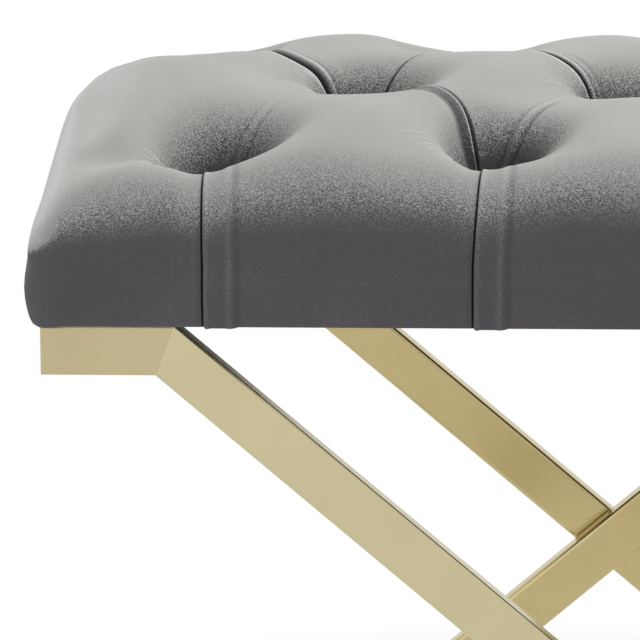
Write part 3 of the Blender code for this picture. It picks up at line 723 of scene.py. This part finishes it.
def edge_in_order(run):
    """Numbers of the points on the layout's edge, once round it, anticlockwise from the front left corner."""
    x, y = run.T
    front = y < -CLOTH_Y + ON_EDGE
    back = y > CLOTH_Y - ON_EDGE
    right = x > CLOTH_X - ON_EDGE
    left = x < -CLOTH_X + ON_EDGE
    ways = [x + CLOTH_X, 3 * CLOTH_X + 2 * CLOTH_Y - x,
            2 * CLOTH_X + CLOTH_Y + y, 4 * CLOTH_X + 3 * CLOTH_Y - y]
    way = np.select([front, back, right, left], ways)
    around = np.nonzero(front | back | right | left)[0]
    return around[np.argsort(way[around])]


def side_profile():
    """Rings from the widest place down to the hem and under the board, as HEM_RINGS has them."""
    rings = []
    for height in SIDE_RINGS:
        draw = HEM_DRAW_SHARE * max(1.0 - height / HEM_DRAW_HEIGHT, 0.0) ** 2
        draw += (1.0 - HEM_DRAW_SHARE) * max(1.0 - height / HEM_TURN_HEIGHT, 0.0) ** 2
        swelling = SIDE_SWELL * math.sin(math.pi * height / BULGE_HEIGHT)
        rings.append((HEM_DRAW * draw - swelling, height, 1.0))
    return rings + list(HEM_RINGS)


def side_rings(inner, direction, sag, lift):
    """Points of the sides and the hem, under an edge of the top that has folds of these heights."""
    rings = []
    for inset, height, folded in side_profile():
        out = SEAT_CORNER - inset + folded * np.maximum(lift, -SIDE_GAP - SIDE_GAP_GROWTH * height)
        dip = folded * max(1.0 - height / CORNER_SAG_HEIGHT, 0.0) * sag
        if height < HEM_TURN_HEIGHT:
            dip += folded * TUCK_DIP * np.maximum(lift, 0.0)
        rings.append(np.column_stack([inner + direction * out[:, None], height - dip]))
    return rings


def new_mesh(name, vertices, faces):
    mesh = bpy.data.meshes.new(name)
    mesh.from_pydata(vertices, [], faces)
    return mesh


def add_object(name, data):
    item = bpy.data.objects.new(name, data)
    bpy.context.scene.collection.objects.link(item)
    return item


def faces_between(upper, lower):
    """Faces between two rings of as many points."""
    count = len(upper)
    return [(upper[k], lower[k], lower[(k + 1) % count], upper[(k + 1) % count]) for k in range(count)]


def cloth_mesh(name):
    flat = [Vector(point) for point in layout_points()]
    placed, _, top_faces, _, _, _ = geometry.delaunay_2d_cdt(flat, [], [], 0, 1e-7)
    run = np.array([tuple(point) for point in placed])
    run_x, run_y = run.T
    lift, gap_shade, tone_and_painted_light = fold_height(run_x, run_y)
    wrinkles = wrinkle_height(run_x, run_y)
    lift += wrinkles
    # Painted highlights on the wrinkles
    tone_and_painted_light += WRINKLE_PAINTED_LIGHT * wrinkles
    unfolded = top_surface(run_x, run_y)
    points = unfolded + normals_of(run_x, run_y) * lift[:, None]
    around = edge_in_order(run)
    widest = unfolded[around, :2]
    inner = np.clip(widest, SEAT_CORNER - HALF_SIZE, HALF_SIZE - SEAT_CORNER)
    direction = widest - inner
    direction /= np.maximum(np.linalg.norm(direction, axis=1, keepdims=True), 1e-9)
    points[around, :2] = widest + direction * lift[around, None]
    sag_start, sag_full = (HALF_SIZE - reach for reach in CORNER_SAG_REACH)
    sag = CORNER_SAG * np.prod(step_up(np.abs(widest), sag_start, sag_full), axis=1)
    sides = side_rings(inner, direction, sag, lift[around])
    count = len(around)
    rings = [around] + [len(points) + k * count + np.arange(count) for k in range(len(sides))]
    faces = list(top_faces)
    for upper, lower in zip(rings[:-1], rings[1:]):
        faces += faces_between(upper, lower)
    faces.append(rings[-1][::-1])
    vertices = np.concatenate([points, *sides])
    vertices[:, 2] += SEAT_Z
    mesh = new_mesh(name, vertices.tolist(), [tuple(int(k) for k in face) for face in faces])
    mesh.validate()
    mesh.shade_smooth()
    # Painted shade in the tufts' hollows, darkest a little right of the front tufts
    shift = HOLLOW_SHIFT * in_front(points[:, 1])
    hollow_shade = step_up(sink(points[:, 0] - shift, points[:, 1]), HOLLOW_START, HOLLOW_FULL)
    write_share(mesh, "hollow_shade", np.concatenate([hollow_shade, np.zeros(count * len(sides))]))
    # Painted shade in the folds' gaps, and the painted light and shade of the folds and wrinkles
    write_share(mesh, "gap_shade", np.concatenate([gap_shade, np.tile(gap_shade[around], len(sides))]))
    write_share(mesh, "tone_and_painted_light", np.concatenate([tone_and_painted_light, np.tile(tone_and_painted_light[around], len(sides))]))
    # Painted light and sheen, by how the surface faces
    write_share(mesh, "painted_light", painted_light_share(mesh))
    return mesh


def in_front(y):
    """1 at the front row of tufts, 0 from the middle row on."""
    return step_up(-y / TUFT_ROW_SPACING, *FRONT_ROW)


def read_vectors(items, name):
    """X, Y and Z of a value of each item."""
    values = np.zeros(3 * len(items))
    items.foreach_get(name, values)
    return values.reshape(-1, 3).T


def painted_light_curve(level):
    """How light the painted light and sheen make the velvet against how the surface faces, without corners in
    the curve.
    """
    table = np.linspace(-0.5, 1.5, 201)
    shares = np.interp(table, PAINTED_LIGHT_LEVELS, PAINTED_LIGHT_SHARES)
    half = 7
    window = 2 * half + 1
    smooth = np.convolve(np.pad(shares, half, mode="edge"), np.full(window, 1 / window), mode="valid")
    return np.interp(level, table, smooth)


def painted_light_share(mesh):
    """Painted light and sheen of the velvet: most where it faces up and tilts back, least, as painted shade,
    on the upright front.
    """
    across, backward, upward = read_vectors(mesh.vertex_normals, "vector")
    x, y, z = read_vectors(mesh.vertices, "co")
    size = np.sqrt(upward ** 2 + backward ** 2 + PAINTED_LIGHT_CROSS * across ** 2 + 1e-9)
    level = (np.clip(upward, 0.0, 1.0) * math.cos(PAINTED_LIGHT_TILT) + backward * math.sin(PAINTED_LIGHT_TILT)) / size
    # Painted light on the left flank of a front hollow, painted shade on its right flank
    level += PAINTED_FLANK_LIGHT * step_up(sink(x, y), *PAINTED_FLANK_DEPTHS) * across * in_front(y)
    sideways = np.abs(across)
    # Painted light on the slopes down to the ends, and painted sheen on their rims
    at_end = step_up(np.abs(x) - HALF_LENGTH, *END_SLOPE)
    at_end *= step_up(upward + END_SIDEWAYS * sideways, *END_UPWARD)
    at_end *= step_up(z - SEAT_Z - BULGE_HEIGHT, 0.0, END_HEIGHT)
    level += PAINTED_END_LIGHT * at_end * step_up(sideways, *END_LEAN)
    return painted_light_curve(level) + PAINTED_RIM_SHEEN * at_end * step_up(sideways, *RIM_LEAN)


def write_share(mesh, name, values):
    layer = mesh.attributes.new(name, "FLOAT", "POINT")
    layer.data.foreach_set("value", values.astype(np.float32))


# Materials

def new_material(name):
    material = bpy.data.materials.new(name)
    material.use_nodes = True
    tree = material.node_tree
    return material, tree, tree.nodes["Principled BSDF"]


def feed(tree, node, values):
    """Gives inputs of a node a number, a colour or the output of another node."""
    for name, value in values.items():
        if isinstance(value, bpy.types.NodeSocket):
            tree.links.new(value, node.inputs[name])
        else:
            node.inputs[name].default_value = value


def add_node(tree, kind, values):
    node = tree.nodes.new("ShaderNode" + kind)
    feed(tree, node, values)
    return node


def noise(tree, scale, detail, stretch=None, turn=0.0):
    """A noise texture in object coordinates, stretched along the axes and turned about Y where asked."""
    place = add_node(tree, "TexCoord", {}).outputs["Object"]
    if stretch:
        mapping = {"Vector": place, "Rotation": (0.0, turn, 0.0), "Scale": stretch}
        place = add_node(tree, "Mapping", mapping).outputs["Vector"]
    return add_node(tree, "TexNoise", {"Vector": place, "Scale": scale, "Detail": detail}).outputs["Fac"]


def ranged(tree, value, low, high, from_low=0.3, from_high=0.7):
    ends = {"From Min": from_low, "From Max": from_high, "To Min": low, "To Max": high}
    return add_node(tree, "MapRange", {"Value": value, **ends}).outputs["Result"]


def mixed(tree, share, first, second):
    """A colour between two, each a colour or an output."""
    node = add_node(tree, "Mix", {"Factor": share})
    node.data_type = "RGBA"
    targets = [item for item in node.inputs if item.type == "RGBA"]
    for target, colour in zip(targets, (first, second)):
        if isinstance(colour, tuple):
            target.default_value = (*colour, 1.0)
        else:
            tree.links.new(colour, target)
    return [item for item in node.outputs if item.type == "RGBA"][0]


def calculated(tree, operation, first, second):
    """The result of an operation on an output and another output or a number."""
    node = add_node(tree, "Math", {0: first, 1: second})
    node.operation = operation
    return node.outputs[0]


def half_way(tree, share):
    """Most where a share is a half, and 0 where it is 0 or 1."""
    return calculated(tree, "SUBTRACT", share, calculated(tree, "POWER", share, 2.0))


def attribute(tree, name):
    node = tree.nodes.new("ShaderNodeAttribute")
    node.attribute_name = name
    return node.outputs["Fac"]


def bumped(tree, shader, height, strength, distance):
    node = add_node(tree, "Bump", {"Height": height, "Strength": strength, "Distance": distance})
    feed(tree, shader, {"Normal": node.outputs["Normal"]})


def velvet():
    """Short-pile grey velvet with painted light and sheen on top and painted shade on its upright sides.

    Painted sparkle of single fibres where the painted light turns, and painted glints on the flanks of the
    hollows.
    """
    material, tree, shader = new_material("grey_velvet")
    # Painted light and sheen by how the surface faces, with faint random patches
    patches = ranged(tree, noise(tree, 22.0, 4.0), -0.02, 0.02)
    painted_light = calculated(tree, "ADD", attribute(tree, "painted_light"), patches)
    turning = half_way(tree, ranged(tree, painted_light, 0.0, 1.0, 0.0, 0.84))
    # Painted sparkle: the fibre grain, strongest where the painted light turns
    fibre = ranged(tree, noise(tree, 1500.0, 2.0), -1.0, 1.0, 0.35, 0.65)
    catching = calculated(tree, "ADD", calculated(tree, "MULTIPLY", turning, 1.9), 0.08)
    sparkle = calculated(tree, "MULTIPLY", fibre, catching)
    tone_and_painted_light = attribute(tree, "tone_and_painted_light")
    lightness = calculated(tree, "ADD", calculated(tree, "ADD", painted_light, tone_and_painted_light), sparkle)
    share = ranged(tree, lightness, 0.0, 1.0, 0.0, 1.0)
    # Painted sheen on the end rims, lighter than the lit velvet
    rim = ranged(tree, lightness, 0.0, 1.0, 1.0, 1.0 + PAINTED_RIM_SHEEN)
    cloud = ranged(tree, noise(tree, 14.0, 4.0), 0.0, 1.0)
    colour = mixed(tree, share, mixed(tree, cloud, *SHADED_VELVET), mixed(tree, cloud, *LIT_VELVET))
    colour = mixed(tree, rim, colour, RIM_SHEEN_TONE)
    # Painted shade in the hollows, eased by painted glints on their flanks and by the folds' painted light
    hollow_shade = attribute(tree, "hollow_shade")
    flank = calculated(tree, "MULTIPLY", half_way(tree, hollow_shade), fibre)
    glint = calculated(tree, "MULTIPLY", flank, 1.8)
    lit = calculated(tree, "ADD", glint, calculated(tree, "MULTIPLY", tone_and_painted_light, 0.6))
    depth = ranged(tree, calculated(tree, "SUBTRACT", hollow_shade, lit), 0.0, 1.0, 0.0, 1.0)
    colour = mixed(tree, depth, colour, HOLLOW_SHADE_TONE)
    # Painted shade, nearly black, in the gaps of the folds
    colour = mixed(tree, attribute(tree, "gap_shade"), colour, GAP_SHADE_TONE)
    feed(tree, shader, {"Base Color": colour, "Roughness": 0.95, "Specular IOR Level": 0.10})
    feed(tree, shader, {"Sheen Weight": 0.06, "Sheen Roughness": 0.60, "Sheen Tint": (1.0, 0.99, 0.97, 1.0)})
    bumped(tree, shader, noise(tree, 1000.0, 2.0), 0.25, 0.0004)
    return material


def brass(name, turn, pale, deep):
    """Pale satin brass: very faint polishing lines along the tube, cloudy patches and soft waves."""
    material, tree, shader = new_material(name)
    cloud = ranged(tree, noise(tree, 22.0, 4.0), 0.0, 1.0)
    tone_and_painted_light = mixed(tree, cloud, deep, pale)
    lines = noise(tree, 1.0, 2.0, stretch=(14.0, 900.0, 900.0), turn=turn)
    feed(tree, shader, {"Base Color": tone_and_painted_light, "Metallic": 1.0, "Roughness": ranged(tree, lines, 0.20, 0.24)})
    bumped(tree, shader, noise(tree, 35.0, 2.0), 0.05, 0.0006)
    return material


def grained(name, grain, dark, light, rough, relief=None, metallic=0.0):
    """A material with a grain of two tones.

    The grain is a noise of (scale, detail) or (scale, detail, stretch), and its relief has a strength and a
    distance. The roughness is a number, or (scale, detail, least, most) where it varies.
    """
    material, tree, shader = new_material(name)
    pattern = noise(tree, *grain)
    tone_and_painted_light = mixed(tree, ranged(tree, pattern, 0.0, 1.0), dark, light)
    if isinstance(rough, tuple):
        scale, detail, least, most = rough
        rough = ranged(tree, noise(tree, scale, detail), least, most)
    feed(tree, shader, {"Base Color": tone_and_painted_light, "Metallic": metallic, "Roughness": rough})
    if relief:
        bumped(tree, shader, pattern, *relief)
    return material


def paint(node, material):
    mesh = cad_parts[node].data
    mesh.materials.clear()
    mesh.materials.append(material)


def brass_with_painted_shade():
    """Brass for the level tubes and both leans of the legs, darker with painted shade on the rails and the
    rear cross.
    """
    brass_in_shades = {}
    for run, turn in (("level", 0.0), ("outer", LEG_ANGLE), ("inner", -LEG_ANGLE)):
        # The rails and the whole rear cross take darker copies of the brass, as painted shade
        front_tone_and_shade = RAIL_SHADED_TONE if run == "level" else LEG_TONE
        brass_in_shades["front", run] = brass(f"pale_brass_front_{run}", turn, *front_tone_and_shade)
        brass_in_shades["rear", run] = brass(f"brass_rear_painted_shade_{run}", turn, *REAR_SHADED_TONE)
    return brass_in_shades


def paint_frame(brass_in_shades):
    steel = grained("zinc_plated_steel", (180.0, 3.0), (0.50, 0.51, 0.53), (0.60, 0.60, 0.58),
                    (700.0, 2.0, 0.28, 0.45), metallic=1.0)
    plastic = grained("black_glide_plastic", (900.0, 3.0), (0.020, 0.020, 0.021), (0.035, 0.035, 0.035),
                      (60.0, 3.0, 0.45, 0.65), (0.15, 0.0003))
    plywood = grained("birch_plywood", (1.0, 5.0, (6.0, 160.0, 700.0)), (0.55, 0.40, 0.24),
                      (0.70, 0.54, 0.35), 0.65, (0.15, 0.0003))
    dust_cloth = grained("black_dust_cloth", (420.0, 6.0), (0.012, 0.012, 0.013), (0.035, 0.035, 0.037),
                         (90.0, 3.0, 0.70, 0.90), (0.40, 0.0004))
    foam = grained("cream_foam", (700.0, 2.0), (0.70, 0.63, 0.46), (0.82, 0.76, 0.60), 0.95, (0.5, 0.0006))
    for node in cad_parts:
        side = node.split("_")[0]
        if node.endswith("_leg"):
            paint(node, brass_in_shades[side, node.split("_")[1]])
        elif node.endswith(("_top_rail", "_foot", "_rail_end", "_foot_end")):
            paint(node, brass_in_shades[side, "level"])
        elif "_bolt_" in node or "_insert_" in node:
            paint(node, steel)
        elif "_glide_" in node:
            paint(node, plastic)
    paint("seat_board", plywood)
    paint("dust_cover", dust_cloth)
    paint("foam_core", foam)


# Pieces

def add_piece(name, mesh, material):
    piece = add_object(name, mesh)
    mesh.materials.append(material)
    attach(piece, "root")
    return piece


def button_mesh(name, x, y, floor):
    """A cloth-covered button: a dome with its cloth drawn in under the rim."""
    profile = [(0.0, 0.0060), (0.34, 0.0058), (0.62, 0.0051), (0.84, 0.0039), (0.96, 0.0025),
               (1.0, 0.0013), (0.96, 0.0003), (0.78, -0.0004), (0.34, -0.0008)]
    steps = 40
    vertices = [(x, y, floor + profile[0][1])]
    for share, height in profile[1:]:
        for k in range(steps):
            turn = FULL_TURN * k / steps
            gather = BUTTON_GATHER * math.sin(BUTTON_GATHERS * turn) * share ** 4
            radius = BUTTON_RADIUS * share * (1.0 + gather)
            vertices.append((x + radius * math.cos(turn), y + radius * math.sin(turn), floor + height))
    rings = [range(start, start + steps) for start in range(1, len(vertices), steps)]
    faces = [(0, 1 + k, 1 + (k + 1) % steps) for k in range(steps)]
    for upper, lower in zip(rings[:-1], rings[1:]):
        faces += faces_between(upper, lower)
    faces.append(tuple(reversed(rings[-1])))
    mesh = new_mesh(name, vertices, faces)
    mesh.shade_smooth()
    return mesh


def rounded_outline(width, height):
    points = []
    for quarter in range(4):
        corner_x = (width / 2 - TUBE_CORNER) * (1 if quarter in (0, 3) else -1)
        corner_y = (height / 2 - TUBE_CORNER) * (1 if quarter in (0, 1) else -1)
        for step in range(TUBE_CORNER_STEPS + 1):
            angle = math.pi / 2 * (quarter + step / TUBE_CORNER_STEPS)
            x = corner_x + TUBE_CORNER * math.cos(angle)
            y = corner_y + TUBE_CORNER * math.sin(angle)
            points.append((x, y))
    return points


def weld_seam(name, middle, across, material):
    """The ground-down weld between two tubes: a thin plate in their seam, just under their faces."""
    across = Vector(across).normalized()
    level = Vector((0.0, 1.0, 0.0))
    normal = across.cross(level)
    outline = rounded_outline(TUBE_FACE / abs(across.z) - 2 * WELD_SUNK, TUBE_THICKNESS - 2 * WELD_SUNK)
    vertices = []
    for side in (-0.5, 0.5):
        for along_seam, along_level in outline:
            vertices.append(Vector(middle) + across * along_seam + level * along_level + normal * SEAM * side)
    first = range(len(outline))
    second = range(len(outline), 2 * len(outline))
    faces = [tuple(first), tuple(reversed(second))] + faces_between(first, second)
    mesh = new_mesh(name, [tuple(vertex) for vertex in vertices], faces)
    add_piece(name, mesh, material)


def weld_seams(brass_in_shades):
    """Seams at the mitres and end plates of the four legs."""
    mitre = FRAME_LENGTH / 2 - RAIL_LENGTH
    plate = FRAME_LENGTH / 2 - END_PLATE - SEAM / 2
    upright = (0.0, 0.0, 1.0)
    for side in ("front", "rear"):
        for leg, top_side in (("outer", -1), ("inner", 1)):
            low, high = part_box(f"{side}_{leg}_leg")
            plane = (low.y + high.y) / 2
            rail_z = high.z - TUBE_FACE / 2
            foot_z = low.z + TUBE_FACE / 2
            lean = (-top_side * math.sin(LEG_ANGLE / 2), 0.0, math.cos(LEG_ANGLE / 2))
            seams = (("top_mitre", top_side * mitre, rail_z, lean),
                     ("foot_mitre", -top_side * mitre, foot_z, lean),
                     ("rail_end", top_side * plate, rail_z, upright),
                     ("foot_end", -top_side * plate, foot_z, upright))
            for place, x, z, across in seams:
                weld_seam(f"{side}_{leg}_{place}_weld", (x, plane, z), across, brass_in_shades[side, "level"])


def dress_seat():
    cloth = velvet()
    seat = add_piece("tufted_velvet_seat", cloth_mesh("tufted_velvet_seat"), cloth)
    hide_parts("velvet_cover", "foam_core")
    for number, (x, y) in enumerate(TUFTS, 1):
        floor = SEAT_Z + float(seat_height(np.array([x]), np.array([y]))[0]) + BUTTON_LIFT
        name = f"covered_button_{number:02d}"
        button = add_piece(name, button_mesh(name, x, y, floor), cloth)
        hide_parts(f"tuft_button_{number:02d}")


# Studio

def white_for_camera(tree, seen=None):
    """1 for rays from the camera, reflections and glass, which see plain white, and 0 for light.

    Where seen is given, it takes the place of the camera's own 1.
    """
    path = add_node(tree, "LightPath", {})
    total = path.outputs["Is Camera Ray"]
    if seen:
        total = calculated(tree, "MULTIPLY", total, seen)
    for ray in ("Is Glossy Ray", "Is Transmission Ray"):
        total = calculated(tree, "MAXIMUM", path.outputs[ray], total)
    return total


def show_mix(tree, share, first, second, output):
    """Sends a mix of two shaders to an output node."""
    mix = add_node(tree, "MixShader", {"Fac": share, 1: first.outputs[0], 2: second.outputs[0]})
    feed(tree, tree.nodes[output], {"Surface": mix.outputs[0]})


def make_world():
    world = bpy.data.worlds.new("studio")
    world.use_nodes = True
    tree = world.node_tree
    ambient = tree.nodes["Background"]
    feed(tree, ambient, {"Color": SKY, "Strength": SKY_STRENGTH})
    white = add_node(tree, "Background", {"Color": WHITE, "Strength": 1.0})
    show_mix(tree, white_for_camera(tree), ambient, white, "World Output")
    bpy.context.scene.world = world


def make_floor():
    """A pale floor that turns to plain white away from the bench."""
    corners = [(x * FLOOR_SIZE, y * FLOOR_SIZE, 0.0) for x, y in ((-1, -1), (1, -1), (1, 1), (-1, 1))]
    mesh = new_mesh("floor", corners, [(0, 1, 2, 3)])
    floor = add_object("floor", mesh)
    material, tree, shader = new_material("pale_floor")
    feed(tree, shader, {"Base Color": FLOOR_TONE, "Roughness": 0.9})
    where = add_node(tree, "TexCoord", {})
    reach = add_node(tree, "VectorMath", {0: where.outputs["Object"]})
    reach.operation = "LENGTH"
    away = ranged(tree, reach.outputs["Value"], 0.0, 1.0, *FLOOR_FADE)
    white = add_node(tree, "Emission", {"Color": WHITE})
    show_mix(tree, white_for_camera(tree, away), shader, white, "Material Output")
    mesh.materials.append(material)


def add_light(name, place, size, power):
    lamp = bpy.data.lights.new(name, "AREA")
    lamp.shape = "RECTANGLE"
    lamp.size, lamp.size_y = size
    lamp.energy = power
    light = add_object(name, lamp)
    light.location = place
    light.rotation_euler = (Vector(LIGHT_AIM) - Vector(place)).to_track_quat("-Z", "Y").to_euler()
    light.visible_camera = False


def make_lights():
    add_light("overhead_softbox", (0.45, 0.35, 2.2), (2.2, 1.8), 26.5)
    add_light("front_fill", (-0.8, -2.6, 1.0), (1.6, 1.2), 3.0)
    add_light("left_fill", (-2.1, -0.5, 0.45), (1.4, 0.7), 5.0)


def make_camera():
    """The photograph's camera, fitted to the edges of the tubes."""
    yaw, pitch, roll = (math.radians(turn) for turn in CAMERA_TURNS)
    ahead = Vector((math.sin(yaw) * math.cos(pitch), math.cos(yaw) * math.cos(pitch), -math.sin(pitch)))
    level = Vector((math.cos(yaw), -math.sin(yaw), 0.0))
    above = level.cross(ahead)
    right = math.cos(roll) * level + math.sin(roll) * above
    up = math.cos(roll) * above - math.sin(roll) * level
    camera = add_object("camera", bpy.data.cameras.new("camera"))
    camera.data.sensor_width = CAMERA_SENSOR
    camera.data.lens = CAMERA_LENS
    camera.data.clip_end = CAMERA_REACH
    turn = Matrix((right, up, -ahead)).transposed().to_4x4()
    camera.matrix_world = Matrix.Translation(CAMERA_PLACE) @ turn
    bpy.context.scene.camera = camera


bpy.context.scene.view_settings.view_transform = "Standard"
make_camera()
BRASS_WITH_PAINTED_SHADE = brass_with_painted_shade()
paint_frame(BRASS_WITH_PAINTED_SHADE)
weld_seams(BRASS_WITH_PAINTED_SHADE)
dress_seat()
make_world()
make_floor()
make_lights()
